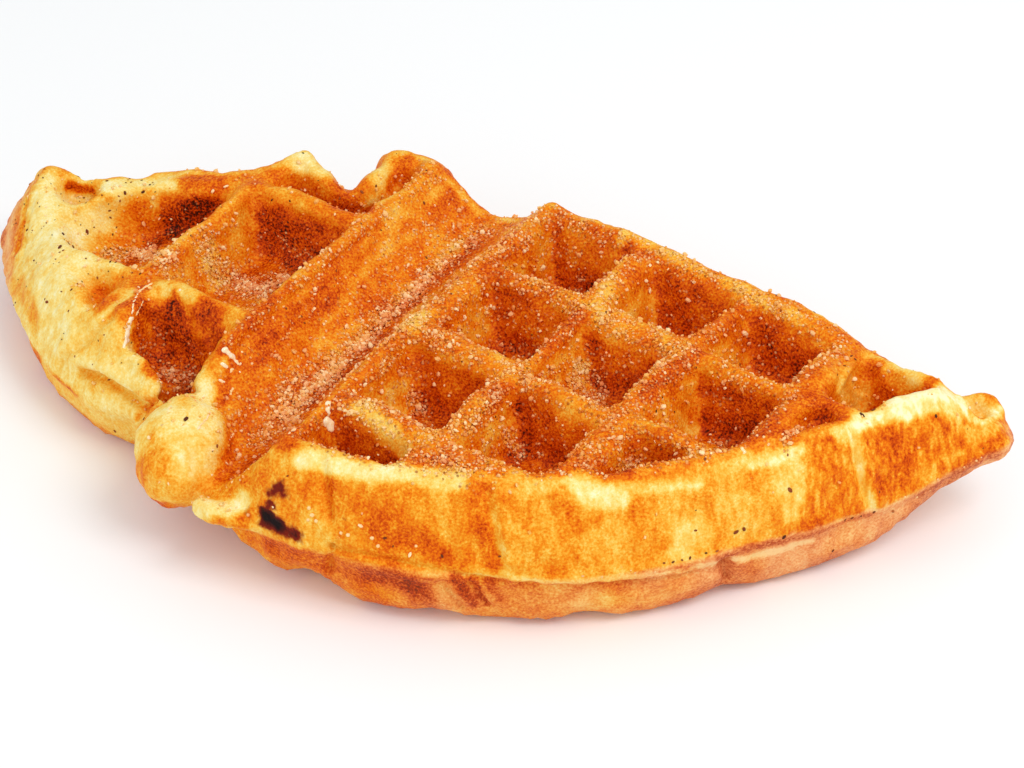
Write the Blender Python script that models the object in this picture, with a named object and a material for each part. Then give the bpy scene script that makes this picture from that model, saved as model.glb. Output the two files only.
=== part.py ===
"""A croffle: croissant dough pressed in a waffle iron, one solid that rests on its lower ridges.

Sizes are in millimetres until the last step, which turns the mesh to metres. The dough is shaped
in the iron's own frame, where +X runs across the iron's long ridges and -Y along them, and is then
turned so that the croffle lies along +X. The first crossing of the upper ridges is the zero point
of both frames. Names ending in _SQ count waffle squares from that crossing.
"""

import math

import bmesh
import bpy
import numpy as np
from mathutils import Matrix, Vector, noise

PITCH = 19.0  # one waffle square, from ridge to ridge
THICKNESS = 25.0  # from the table to the crest of the upper ridges
SEAM_HEIGHT = 11.0  # where the iron's two halves met, seen as a lip round the side
IRON_TURN = math.radians(-34.0)  # the iron's +X as seen from above, against the croffle's length
RIDGE_WIDTH = 1.0  # flat crest of a ridge, before its shoulders round off
ROUNDING = 1.8  # how softly a pocket's four walls run into each other
WALL_RUN = 5.6  # level distance from a crest to the foot of a pocket's wall
RIM_WIDTH = 7.0  # from the seam in to the first pocket wall, at the front
BASE_RIM_WIDTH = 8.5
POCKET_DEPTH = 9.5
BASE_POCKET_DEPTH = 5.0
FINE_CELL = 0.8  # cell of the remesh that evens out the pressed dough
TRIANGLES = 9000
FLAT_BELOW = 0.35  # lowest skin that the table presses flat

# The seam seen from above, clockwise from the right tip: front edge, left end, back edge
SEAM_OUTLINE = [
    (71.0, -45.0), (66.5, -50.0), (58.5, -53.5), (49.0, -58.0), (39.0, -62.5), (30.0, -66.0),
    (21.0, -69.3), (10.5, -72.2), (-1.0, -73.2), (-12.0, -73.0), (-22.0, -71.8), (-32.5, -68.4),
    (-41.3, -64.5), (-47.0, -60.0), (-51.5, -56.0), (-56.0, -54.0), (-60.5, -49.5), (-62.5, -43.0),
    (-65.5, -36.0), (-71.5, -32.0), (-78.0, -25.5), (-83.5, -17.5), (-88.5, -6.0), (-91.8, 5.5),
    (-92.6, 14.0), (-90.6, 21.2), (-83.5, 23.2), (-76.5, 20.0), (-69.0, 19.4), (-61.0, 20.5),
    (-53.5, 17.2), (-47.0, 17.8), (-41.0, 19.8), (-36.2, 19.0), (-32.8, 14.6), (-30.2, 18.8),
    (-23.5, 20.5), (-17.5, 18.5), (-11.5, 12.5), (-4.0, 8.5), (3.0, 4.5), (18.6, -6.3),
    (34.6, -17.0), (50.5, -28.0), (60.0, -36.0), (67.0, -40.0),
]

# Half of the side's profile from the seam up, then from the seam down: (pulled in by, height)
UPPER_SIDE = [
    (0.0, 11.4), (0.8, 12.2), (1.2, 14.0), (2.3, 17.5), (3.6, 20.5), (4.8, 23.0), (6.0, 24.5), (8.0, 25.0),
]
LOWER_SIDE = [(0.4, 10.6), (1.5, 9.8), (1.1, 7.5), (1.3, 4.5), (2.0, 2.0), (3.4, 0.6), (5.5, 0.0)]

# The divider's groove between the left and the right squares
LEFT_CREST_SQ = -1.15
RIGHT_CREST_SQ = 0.0
GROOVE_FLOOR_SQ = -0.56
GROOVE_DEPTH = 8.0
GROOVE_FALL = 1.3  # how much deeper the groove gets for each square towards its front end

RIGHT_ROWS = (4, 3, 3, 2)  # squares in each column of the right part; the rim cuts off the last ones

# Pockets of the left part: west, east, back and front edge in squares, depth, and how gently the
# west wall rises, where 1 is as steep as the others
LEFT_POCKETS = [
    (-2.33, -1.15, 0.10, 1.10, 8.5, 1.0),
    (-2.33, -1.15, 1.10, 2.62, 9.0, 1.0),
    (-2.16, -1.15, 2.62, 4.20, 9.5, 1.0),
    (-3.75, -2.33, 0.95, 2.60, 8.0, 0.42),
    (-3.05, -2.38, 2.60, 3.70, 5.0, 0.70),
]

# Soft lifts and dips of the upper surface: x, y, radius, height
SWELLS = [
    (57.0, -46.5, 6.0, 2.0),  # pale bump near the right tip
    (-40.5, 15.0, 6.0, 2.3),  # pale peak on the back rim
    (-32.8, 9.0, 2.3, -3.2),  # notch beside the peak
    (-84.0, 15.0, 9.0, 2.2),  # back corner of the left end
    (-78.5, 10.5, 3.0, -4.0),  # small hole in the left end
    (-57.0, -47.0, 6.0, -2.0),  # front end of the left crest, rounded down
    (-57.0, -40.0, 8.0, -5.2),  # low front rim of the pocket beside it
]

# Where the dough's underside is lifted clear of the table: x, y, radius, height
BASE_LIFTS = [
    (-58.0, -52.0, 13.0, 9.0),  # under the front end of the left crest
    (-90.0, 18.0, 16.0, 3.0),  # under the left end's back corner
    (-36.0, -66.0, 5.0, 5.0),  # four short folds in the front's bottom edge
    (-17.0, -69.5, 3.0, 1.8),
    (5.0, -70.5, 3.0, 1.6),
    (25.0, -66.0, 3.0, 1.8),
]

# Folds of dough on the side: middle, radii, turn and lean in degrees
FOLDS = [
    ((-47.5, -60.3, 12.5), (6.5, 2.4, 1.7), -22.0, 4.0),  # pale tongue at the seam's left end
    ((-54.9, -47.4, 13.3), (7.3, 9.2, 8.0), -30.0, 0.0),  # front end of the left crest
    ((-49.0, -41.5, 13.0), (3.2, 8.0, 6.0), -34.0, 0.0),  # the crest behind it
    ((64.5, -45.5, 14.8), (5.5, 3.6, 4.0), -35.0, 0.0),  # blunt right tip
    ((65.5, -41.6, 17.2), (4.0, 1.8, 2.6), -15.0, 0.0),  # curled ear behind it
]

# Where the folds melt into the dough round them: x, y, reach, passes of smoothing
MELTS = [
    (-50.5, -47.0, 8.5, 14),
    (-51.0, 14.0, 8.0, 8),
]


def smooth_min(first, second, softness):
    """The lower of two fields, rounded where they cross."""
    blend = np.clip(0.5 + 0.5 * (second - first) / softness, 0.0, 1.0)
    return second + (first - second) * blend - softness * blend * (1.0 - blend)


def ease(value):
    """A ramp from 0 to 1 that starts and ends level."""
    t = np.clip(value, 0.0, 1.0)
    return t * t * (3.0 - 2.0 * t)


def to_iron(x, y):
    """Turns a point of the croffle's frame into the iron's frame."""
    cos, sin = math.cos(IRON_TURN), math.sin(IRON_TURN)
    return x * cos + y * sin, y * cos - x * sin


def to_croffle(x, y):
    """Turns a point of the iron's frame into the croffle's frame."""
    cos, sin = math.cos(IRON_TURN), math.sin(IRON_TURN)
    return x * cos - y * sin, y * cos + x * sin


def seam_loop():
    """The seam as an even smooth loop of points in the iron's frame."""
    curve = bpy.data.curves.new("seam", "CURVE")
    curve.dimensions = "2D"
    curve.fill_mode = "NONE"
    spline = curve.splines.new("BEZIER")
    spline.bezier_points.add(len(SEAM_OUTLINE) - 1)
    spline.use_cyclic_u = True
    spline.resolution_u = 8
    for point, place in zip(spline.bezier_points, SEAM_OUTLINE):
        point.co = (*to_iron(*place), 0.0)
        point.handle_left_type = "AUTO"
        point.handle_right_type = "AUTO"
    holder = bpy.data.objects.new("seam", curve)
    bpy.context.collection.objects.link(holder)
    bpy.context.view_layer.update()
    outline = bpy.data.meshes.new_from_object(holder.evaluated_get(bpy.context.evaluated_depsgraph_get()))
    loop = np.array([vertex.co[:2] for vertex in outline.vertices])
    bpy.data.objects.remove(holder)
    bpy.data.curves.remove(curve)
    bpy.data.meshes.remove(outline)
    return loop


def outward(loop):
    """Unit normals of a clockwise or counter-clockwise loop, pointing out."""
    along = np.roll(loop, -1, axis=0) - np.roll(loop, 1, axis=0)
    normal = np.stack([along[:, 1], -along[:, 0]], axis=1)
    normal /= np.linalg.norm(normal, axis=1)[:, None]
    area = np.sum(loop[:, 0] * np.roll(loop[:, 1], -1) - np.roll(loop[:, 0], -1) * loop[:, 1])
    return normal if area > 0 else -normal


def back_side(cx, cy):
    """1 along the straight back edge of the right part, 0 at the front and the left."""
    return ease((cy + 0.55 * cx + 8.0) / 12.0)


def side_softness(loop):
    """How far the side's profile pulls in: less at the back, a little more at the left end."""
    cx, cy = to_croffle(loop[:, 0], loop[:, 1])
    return 1.0 - 0.4 * back_side(cx, cy) + 0.2 * ease((-62.0 - cx) / 16.0)


def dough_body(loop):
    """The pressed dough before its squares: the seam loop drawn up and down along the side's profile."""
    normal = outward(loop)
    softness = side_softness(loop)[:, None]
    mesh = bmesh.new()
    for profile in (UPPER_SIDE, LOWER_SIDE):
        previous = None
        for pulled_in, height in [(0.0, SEAM_HEIGHT)] + profile:
            ring = loop - normal * softness * pulled_in
            verts = [mesh.verts.new((x, y, height)) for x, y in ring]
            if previous:
                for i, vert in enumerate(verts):
                    mesh.faces.new((previous[i - 1], previous[i], vert, verts[i - 1]))
            previous = verts
        mesh.faces.new(previous)
    bmesh.ops.remove_doubles(mesh, verts=mesh.verts, dist=0.001)
    bmesh.ops.recalc_face_normals(mesh, faces=mesh.faces)
    return mesh


def add_fold(mesh, middle, radii, turn, lean):
    """Adds a stretched ball to the dough; the next remesh fuses it."""
    x, y = to_iron(middle[0], middle[1])
    turned = Matrix.Rotation(math.radians(turn) - IRON_TURN, 4, "Z")
    leaning = Matrix.Rotation(math.radians(lean), 4, "Y")
    matrix = Matrix.Translation((x, y, middle[2])) @ turned @ leaning @ Matrix.Diagonal((*radii, 1.0))
    bmesh.ops.create_icosphere(mesh, subdivisions=3, radius=1.0, matrix=matrix)


def even_out(mesh, verts, passes):
    """Relaxes some of the dough's points towards their neighbours."""
    axes = {"use_axis_x": True, "use_axis_y": True, "use_axis_z": True}
    for _ in range(passes):
        bmesh.ops.smooth_vert(mesh, verts=verts, factor=0.5, **axes)


def melt(mesh, cx, cy, reach, passes):
    """Smooths the dough round one place."""
    near = []
    for vert in mesh.verts:
        x, y = to_croffle(vert.co.x, vert.co.y)
        if math.hypot(x - cx, y - cy) < reach:
            near.append(vert)
    even_out(mesh, near, passes)


def remeshed(mesh, cell, name):
    """A closed even skin round all the shells in a bmesh, as a new bmesh."""
    data = bpy.data.meshes.new(name)
    mesh.to_mesh(data)
    mesh.free()
    holder = bpy.data.objects.new(name, data)
    bpy.context.collection.objects.link(holder)
    modifier = holder.modifiers.new("even", "REMESH")
    modifier.mode = "VOXEL"
    modifier.voxel_size = cell
    bpy.context.view_layer.update()
    evened = bpy.data.meshes.new_from_object(holder.evaluated_get(bpy.context.evaluated_depsgraph_get()))
    result = bmesh.new()
    result.from_mesh(evened)
    bpy.data.objects.remove(holder)
    bpy.data.meshes.remove(evened)
    bpy.data.meshes.remove(data)
    return result


def coordinates(mesh):
    """The bmesh's points as one array."""
    return np.array([vert.co[:] for vert in mesh.verts])


def place_points(mesh, points):
    """Moves the bmesh's points to the rows of an array."""
    for vert, point in zip(mesh.verts, points):
        vert.co = point


def distance_inside(loop, x, y):
    """Level distance from each point to the seam loop."""
    start = loop
    run = np.roll(loop, -1, axis=0) - loop
    length_sq = np.sum(run * run, axis=1)
    nearest = np.full(x.shape, np.inf)
    for (ax, ay), (dx, dy), size in zip(start, run, length_sq):
        t = np.clip(((x - ax) * dx + (y - ay) * dy) / size, 0.0, 1.0)
        nearest = np.minimum(nearest, np.hypot(x - ax - t * dx, y - ay - t * dy))
    return nearest


def pocket(x, y, square, room, crest):
    """Depth of one pocket at each point. A square is west, east, back, front, depth and west softness."""
    west, east, back, front, depth, softness = square
    across = smooth_min((x - west * PITCH) * softness, east * PITCH - x, ROUNDING)
    along = smooth_min(-y - back * PITCH, front * PITCH + y, ROUNDING)
    wall = smooth_min(smooth_min(across, along, ROUNDING) - crest / 2, room, ROUNDING)
    return depth * ease(wall / (WALL_RUN * depth / POCKET_DEPTH * 0.6 + WALL_RUN * 0.4))


def groove(x, y):
    """Depth of the divider's groove, a soft V that is open at both ends."""
    west_edge = LEFT_CREST_SQ * PITCH + RIDGE_WIDTH / 2
    east_edge = RIGHT_CREST_SQ * PITCH - RIDGE_WIDTH / 2
    floor = GROOVE_FLOOR_SQ * PITCH
    t = smooth_min((x - west_edge) / (floor - west_edge), (east_edge - x) / (east_edge - floor), 0.35)
    t = np.clip(t, 0.0, 1.0)
    squares_forward = np.clip(-y / PITCH - 1.5, 0.0, 3.0)
    return (GROOVE_DEPTH + GROOVE_FALL * squares_forward) * np.sin(t * math.pi / 2)


def upper_squares(depth):
    """The right part's pockets, a little uneven, followed by the left part's."""
    squares = []
    for column, rows in enumerate(RIGHT_ROWS):
        for row in range(rows):
            shift = 0.05 * math.sin(2.3 * column + 1.7 * row)
            west, back = column + shift, row - shift
            squares.append((west, west + 1.0, back, back + 1.0, depth + 8.0 * shift, 1.0))
    return squares


def crest_height(x, y):
    """Height of the upper ridges: level in the middle, lower towards the left end and the right tip."""
    cx, cy = to_croffle(x, y)
    across = x / PITCH
    along = -y / PITCH
    height = np.full(x.shape, THICKNESS)
    height -= 5.5 * ease((LEFT_CREST_SQ - 0.3 - across) / 3.2)
    height -= 3.0 * ease((LEFT_CREST_SQ - 0.2 - across) / 2.0) * ease((along - 2.2) / 1.6)
    height -= 3.2 * ease((across - 2.2) / 1.0) * ease((0.7 - along) / 0.7)
    height -= 6.0 * ease((cx - 56.0) / 14.0)
    for sx, sy, radius, lift in SWELLS:
        height += lift * np.exp(-((cx - sx) ** 2 + (cy - sy) ** 2) / (radius * radius))
    return height


def base_height(x, y):
    """Height of the underside: on the table, but lifted under the right tip and some of the edge."""
    cx, cy = to_croffle(x, y)
    height = 10.5 * ease((cx - 42.0) / 24.0)
    for sx, sy, radius, lift in BASE_LIFTS:
        height += lift * np.exp(-((cx - sx) ** 2 + (cy - sy) ** 2) / (radius * radius))
    return height


def seam_height(x, y):
    """Height of the seam: lower at the left end, higher at the right tip."""
    cx, cy = to_croffle(x, y)
    return SEAM_HEIGHT - 2.0 * ease((-45.0 - cx) / 35.0) + 4.0 * ease((cx - 48.0) / 22.0)


def press(mesh, loop):
    """Presses the iron's squares into both faces of the dough and lets its ends droop."""
    points = coordinates(mesh)
    x, y, z = points.T
    cx, cy = to_croffle(x, y)
    inside = distance_inside(loop, x, y)

    left_end = ease((-66.0 - cx) / 14.0)
    left_back = ease((-42.0 - cx) / 8.0) * ease((cy - 2.0) / 8.0)
    left_front = ease((-50.0 - cx) / 6.0) * ease((-16.0 - cy) / 8.0)
    rim = RIM_WIDTH - 2.2 * back_side(cx, cy) + 2.6 * left_back + 2.0 * left_end - 5.0 * left_front
    room = inside - rim
    dent = groove(x, y)
    for square in upper_squares(POCKET_DEPTH) + LEFT_POCKETS:
        dent = np.maximum(dent, pocket(x, y, square, room, RIDGE_WIDTH))

    lower_room = inside - BASE_RIM_WIDTH
    hollow = 0.5 * groove(x, y) * ease(lower_room / 4.0)
    for square in upper_squares(BASE_POCKET_DEPTH):
        hollow = np.maximum(hollow, pocket(x, y, square, lower_room, RIDGE_WIDTH * 1.4))
    for west, east, near, far, _, _ in LEFT_POCKETS:
        square = (west, east, near, far, BASE_POCKET_DEPTH, 1.0)
        hollow = np.maximum(hollow, pocket(x, y, square, lower_room, RIDGE_WIDTH * 1.4))

    crest = crest_height(x, y)
    base = base_height(x, y)
    seam = seam_height(x, y)
    above = seam + (z - SEAM_HEIGHT) * (crest - seam) / (THICKNESS - SEAM_HEIGHT)
    below = base + z * (seam - base) / SEAM_HEIGHT
    hollow = base + hollow * ease(1.0 - base / 6.0)
    z = np.where(z > SEAM_HEIGHT, np.minimum(above, crest - dent), np.maximum(below, hollow))
    place_points(mesh, np.stack([x, y, z], axis=1))


def roughen(mesh):
    """Gives the dough its slow unevenness, less where it lies on the table."""
    points = coordinates(mesh)
    for row in points:
        here = Vector(row)
        swell = noise.noise(here / 17.0) * 0.9 + noise.noise(here / 7.0) * 0.35
        row[2] += swell * min(1.0, row[2] / 8.0)
        row[0] += noise.noise(here / 12.0 + Vector((31.0, 7.0, 3.0))) * 0.7
        row[1] += noise.noise(here / 12.0 + Vector((5.0, 41.0, 17.0))) * 0.7
    place_points(mesh, points)


def flatten_base(mesh):
    """Stands the dough on the table and presses its lowest skin flat."""
    points = coordinates(mesh)
    points[:, 2] -= np.min(points[:, 2]) + FLAT_BELOW
    points[:, 2] = np.maximum(points[:, 2], 0.0)
    place_points(mesh, points)


def simplified(mesh, triangles):
    """The same skin in about the given number of triangles."""
    bmesh.ops.triangulate(mesh, faces=mesh.faces)
    data = bpy.data.meshes.new("skin")
    mesh.to_mesh(data)
    count = len(mesh.faces)
    mesh.free()
    holder = bpy.data.objects.new("skin", data)
    bpy.context.collection.objects.link(holder)
    modifier = holder.modifiers.new("fewer", "DECIMATE")
    modifier.ratio = triangles / count
    modifier.use_collapse_triangulate = True
    bpy.context.view_layer.update()
    fewer = bpy.data.meshes.new_from_object(holder.evaluated_get(bpy.context.evaluated_depsgraph_get()))
    result = bmesh.new()
    result.from_mesh(fewer)
    bpy.data.objects.remove(holder)
    bpy.data.meshes.remove(fewer)
    bpy.data.meshes.remove(data)
    return result


def crust():
    """Golden baked pastry."""
    material = bpy.data.materials.new("crust")
    material.use_nodes = True
    shader = material.node_tree.nodes["Principled BSDF"]
    shader.inputs["Base Color"].default_value = (0.72, 0.30, 0.06, 1.0)
    shader.inputs["Roughness"].default_value = 0.5
    shader.inputs["Metallic"].default_value = 0.0
    return material


def croffle():
    """Builds the croffle as one closed solid, in metres, centred over its base."""
    loop = seam_loop()
    mesh = remeshed(dough_body(loop), 1.0, "dough")
    press(mesh, loop)
    for fold in FOLDS:
        add_fold(mesh, *fold)
    mesh = remeshed(mesh, FINE_CELL, "dough")
    even_out(mesh, mesh.verts, 2)
    for spot in MELTS:
        melt(mesh, *spot)
    roughen(mesh)
    flatten_base(mesh)
    mesh = simplified(mesh, TRIANGLES)
    points = coordinates(mesh)
    points[:, 0], points[:, 1] = to_croffle(points[:, 0], points[:, 1])
    middle = (points.min(axis=0) + points.max(axis=0)) / 2
    print("first crossing is at", [round(float(-c), 2) for c in middle[:2]], "mm from the base's centre")
    place_points(mesh, (points - (middle[0], middle[1], 0.0)) * 0.001)
    data = bpy.data.meshes.new("croffle")
    mesh.to_mesh(data)
    mesh.free()
    data.materials.append(crust())
    data.shade_smooth()
    solid = bpy.data.objects.new("croffle", data)
    bpy.context.collection.objects.link(solid)
    return solid


for old in list(bpy.data.objects):
    bpy.data.objects.remove(old)
croffle()
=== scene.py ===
import math

import bmesh
import bpy
import numpy as np
from mathutils import Matrix, Vector
from mathutils.bvhtree import BVHTree


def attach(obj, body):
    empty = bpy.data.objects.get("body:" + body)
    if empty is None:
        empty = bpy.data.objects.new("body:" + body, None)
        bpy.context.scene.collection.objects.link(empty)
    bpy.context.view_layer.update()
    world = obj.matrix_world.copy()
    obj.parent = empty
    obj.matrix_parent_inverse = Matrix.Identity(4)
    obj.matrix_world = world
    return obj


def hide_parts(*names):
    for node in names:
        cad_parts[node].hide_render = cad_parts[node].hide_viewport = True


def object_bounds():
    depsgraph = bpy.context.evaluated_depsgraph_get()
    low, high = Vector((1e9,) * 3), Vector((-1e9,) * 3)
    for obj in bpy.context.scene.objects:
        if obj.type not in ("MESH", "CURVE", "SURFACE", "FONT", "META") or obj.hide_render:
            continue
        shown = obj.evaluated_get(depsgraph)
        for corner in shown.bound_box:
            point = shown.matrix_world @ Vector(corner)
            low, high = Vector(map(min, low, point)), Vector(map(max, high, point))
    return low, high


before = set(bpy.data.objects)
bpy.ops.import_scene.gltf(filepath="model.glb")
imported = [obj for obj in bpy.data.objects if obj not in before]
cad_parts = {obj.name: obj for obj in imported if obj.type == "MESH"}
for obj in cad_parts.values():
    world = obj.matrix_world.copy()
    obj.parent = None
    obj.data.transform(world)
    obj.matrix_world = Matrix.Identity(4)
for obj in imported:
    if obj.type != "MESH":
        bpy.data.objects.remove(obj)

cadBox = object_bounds()
mm = 0.001

# the iron's squares as they lie on the croffle, in millimetres
iron = {
    "crossing": (11.49, 25.22),  # where the first two ridges cross
    "turn": math.radians(-34.0),
    "square": 19.0,
    "top": 25.0,
    "leftCrest": -1.15,  # in squares from the first crossing
    "seam": 11.0,
}

# the photo's camera, fitted to the ridge crossings
shot = {
    "aim": (-5.98, -45.73, 25.0),  # from the first crossing, in millimetres
    "down": math.radians(39.5),
    "away": 369.8,
    "lens": 2500.0 / 1024.0 * 36.0,
    "focal": 2500.0,  # in the photo's pixels
    "middle": (512.0, 384.0),
}


def ease(value):
    # a smooth step from 0 to 1
    t = np.clip(value, 0.0, 1.0)
    return t * t * (3.0 - 2.0 * t)


def field(points, size, seed, stretch=(1.0, 1.0, 1.0)):
    # a smooth random field of about -1 to 1, with lumps of one size
    q = points * np.array(stretch) / size + seed * 17.31
    cell = np.floor(q).astype(np.int64)
    t = q - cell
    t = t * t * (3.0 - 2.0 * t)
    total = np.zeros(len(points))
    for corner in range(8):
        step = np.array([(corner >> axis) & 1 for axis in range(3)])
        c = cell + step
        # large primes give each cell its own chance value
        key = (c[:, 0] * 73856093) ^ (c[:, 1] * 19349663) ^ (c[:, 2] * 83492791)
        key = (key ^ (key >> 13)) * 1274126177 & 0x7FFFFFFF
        key = (key ^ (key >> 11)) * 668265263 & 0x7FFFFFFF
        weight = np.prod(np.where(step == 1, t, 1.0 - t), axis=1)
        total += (key / 0x3FFFFFFF - 1.0) * weight
    return total * 1.4


def ironSquares(points):
    # squares across and along the ridges, from the first crossing
    x = points[:, 0] - iron["crossing"][0]
    y = points[:, 1] - iron["crossing"][1]
    cos, sin = math.cos(iron["turn"]), math.sin(iron["turn"])
    return (x * cos + y * sin) / iron["square"], -(y * cos - x * sin) / iron["square"]


def ridgeHeight(points):
    # height of the upper ridges, lower at both ends
    across, along = ironSquares(points)
    cx = points[:, 0] - iron["crossing"][0]
    left = iron["leftCrest"]
    height = np.full(len(points), iron["top"])
    height -= 5.5 * ease((left - 0.3 - across) / 3.2)
    height -= 3.0 * ease((left - 0.2 - across) / 2.0) * ease((along - 2.2) / 1.6)
    height -= 3.2 * ease((across - 2.2) / 1.0) * ease((0.7 - along) / 0.7)
    height -= 6.0 * ease((cx - 56.0) / 14.0)
    return height


def seamHeight(points):
    # height of the lip where the iron's halves met
    cx = points[:, 0] - iron["crossing"][0]
    return iron["seam"] - 2.0 * ease((-45.0 - cx) / 35.0) + 4.0 * ease((cx - 48.0) / 22.0)


def cameraFrame():
    # the camera's place in millimetres, its line of sight and what it has above
    x, y = iron["crossing"]
    sideways, back, height = shot["aim"]
    aim = Vector((x + sideways, y + back, height))
    ahead = Vector((0.0, math.cos(shot["down"]), -math.sin(shot["down"])))
    up = Vector((0.0, math.sin(shot["down"]), math.cos(shot["down"])))
    return aim - ahead * shot["away"], ahead, up


def onCrust(tree, px, py):
    # the crust's point and normal under a pixel of the photo, in millimetres
    eye, ahead, up = cameraFrame()
    right = Vector((1.0, 0.0, 0.0))
    u = (px - shot["middle"][0]) / shot["focal"]
    v = (shot["middle"][1] - py) / shot["focal"]
    towards = ahead + right * u + up * v
    place, normal, _, _ = tree.ray_cast(eye, towards.normalized())
    if place is None:
        place, normal, _, _ = tree.find_nearest(eye + towards * shot["away"])
    return place, normal


def inBox(points):
    # keeps every point a little inside the solid's own box; nothing may stand out of
    # the solid's own box
    low, high = (np.array(corner) / mm for corner in cadBox)
    return np.clip(points, low + 0.04, high - 0.04)


def routeDistance(points, tree, route):
    # distance from each point to a route given in the photo's pixels
    route = [np.array(onCrust(tree, px, py)[0]) for px, py in route]
    if len(route) == 1:
        return np.linalg.norm(points - route[0], axis=1)
    nearest = np.full(len(points), np.inf)
    for start, end in zip(route, route[1:]):
        run = end - start
        t = np.clip((points - start) @ run / max(run @ run, 1e-9), 0.0, 1.0)
        nearest = np.minimum(nearest, np.linalg.norm(points - start - t[:, None] * run, axis=1))
    return nearest


def perPoint(data, name):
    values = np.empty(len(data.vertices) * 3)
    data.vertices.foreach_get(name, values)
    return values.reshape(-1, 3)


def meshPoints(data):
    return perPoint(data, "co")


def meshNormals(data):
    return perPoint(data, "normal")


def setPoints(data, points):
    data.vertices.foreach_set("co", points.ravel())
    data.update()


def meshEdges(data):
    values = np.empty(len(data.edges) * 2, dtype=np.int64)
    data.edges.foreach_get("vertices", values)
    return values.reshape(-1, 2)


def spread(values, edges, passes):
    # evens values out over the mesh, a little further with each pass
    columns = values.astype(float).reshape(len(values), -1)
    count = np.bincount(edges.ravel(), minlength=len(values)) + 1.0
    for _ in range(passes):
        total = columns.copy()
        for axis in range(columns.shape[1]):
            total[:, axis] += np.bincount(edges[:, 0], columns[edges[:, 1], axis], len(values))
            total[:, axis] += np.bincount(edges[:, 1], columns[edges[:, 0], axis], len(values))
        columns = total / count[:, None]
    return columns.reshape(values.shape)


def newObject(name, data):
    made = bpy.data.objects.new(name, data)
    bpy.context.collection.objects.link(made)
    return made


def finishedMesh(holder):
    # the mesh that an object's modifiers leave, without the object
    bpy.context.view_layer.update()
    graph = bpy.context.evaluated_depsgraph_get()
    result = bpy.data.meshes.new_from_object(holder.evaluated_get(graph))
    bpy.data.objects.remove(holder)
    return result


def withModifiers(data, settings):
    # a new mesh from a mesh with modifiers run on it
    holder = newObject("holder", data)
    for kind, values in settings:
        modifier = holder.modifiers.new(kind.lower(), kind)
        for name, value in values.items():
            setattr(modifier, name, value)
    return finishedMesh(holder)


def addPiece(name, data, material):
    piece = newObject(name, data)
    data.materials.clear()
    data.materials.append(material)
    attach(piece, "root")
    return piece


def setAttribute(data, name, values):
    layer = data.attributes.new(name, "FLOAT", "POINT")
    layer.data.foreach_set("value", np.asarray(values, dtype=np.float32))


# the croffle's own skin, in millimetres
crust = {
    "cell": 0.5,  # first fine skin
    "triangles": 190000,
    "keptAbove": 0.35,  # how freely triangles go outside the underside, where it is 1
    "pocketFloor": 9.0,  # the pockets lie above this height
    "steep": 0.45,  # least slope of an outside wall
    "relaxed": 3,  # passes of smoothing over the solid's facets
    "crisp": 1.6,  # how much the pockets' edges and corners are sharpened again
    "crispMost": 1.2,
    "crispReach": 30,
    "steady": 1.5,  # what lies on the table stays flat up to this height
    "blister": 0.16,
    "grit": 0.07,
    "fibre": 0.16,
}

# folds pressed into the side and the left end: depth, half width, route in the photo's pixels
creases = [
    (1.0, 0.7, [(322, 457), (325, 475), (327, 498), (329, 520)]),
    (0.7, 0.8, [(486, 490), (492, 520), (500, 556)]),
    (0.8, 0.7, [(853, 440), (857, 462), (862, 485), (871, 508)]),
    (1.2, 0.6, [(331, 547), (330, 570)]),
    (1.4, 0.8, [(726, 562), (728, 580)]),
    (1.9, 0.9, [(82, 373), (97, 377), (114, 387), (130, 398), (144, 408)]),
    (1.3, 0.7, [(137, 418), (145, 406), (157, 398), (172, 394), (195, 389)]),
    (0.9, 0.7, [(60, 362), (80, 345), (98, 327), (112, 316)]),
    (0.6, 0.5, [(443, 583), (456, 598), (462, 608)]),
    (0.6, 0.5, [(468, 583), (480, 597), (488, 606)]),
    (0.7, 0.5, [(330, 549), (365, 555), (397, 562), (430, 569), (463, 576), (503, 582)]),  # under the seam
    (0.6, 0.5, [(520, 584), (580, 585), (640, 581), (690, 574)]),
    (1.6, 1.3, [(74, 190), (84, 193), (94, 193)]),  # the small hole
    (0.8, 0.7, [(418, 163), (398, 184), (368, 214)]),  # beside the left crest
    (0.5, 0.6, [(392, 218), (345, 252), (290, 300), (238, 348)]),
    (0.9, 0.8, [(968, 405), (975, 412), (986, 414)]),  # inside the ear
    (0.35, 0.35, [(842, 352), (855, 348), (872, 350), (888, 356), (898, 363)]),  # flaky back rim
    (0.35, 0.35, [(865, 361), (872, 356), (882, 357), (889, 361)]),
    (0.3, 0.35, [(846, 396), (850, 403), (858, 408)]),  # curved layers in the last pocket
    (0.3, 0.35, [(845, 388), (852, 397), (864, 402)]),
    (0.3, 0.35, [(850, 378), (858, 388), (868, 394)]),
    (0.5, 0.5, [(26, 200), (22, 225), (18, 250)]),  # left edge
    (0.4, 0.4, [(31, 205), (27, 232), (22, 262)]),
]

# ridges of dough that stand proud beside them
puffs = [
    (0.5, 1.2, [(863, 446), (868, 470), (876, 500)]),
    (0.5, 1.4, [(498, 492), (505, 530), (510, 560)]),
    (0.8, 1.6, [(62, 352), (85, 362), (105, 368), (125, 380), (145, 394)]),
    (0.5, 2.4, [(60, 395), (90, 410), (118, 415)]),
    (0.5, 0.9, [(450, 583), (466, 600)]),
    (0.45, 0.8, [(428, 167), (400, 192), (362, 225), (311, 268), (255, 316), (222, 350)]),  # left crest
    (0.4, 0.8, [(255, 186), (289, 203), (331, 217), (360, 219)]),  # crest behind the left pockets
    (0.6, 0.7, [(958, 399), (965, 411), (973, 419), (984, 423), (994, 416)]),  # the ear's curl
    (0.4, 0.5, [(849, 369), (842, 378), (838, 392)]),
    (0.3, 0.5, [(513, 579), (560, 581), (640, 577), (700, 569)]),  # the seam's lip
]


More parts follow.
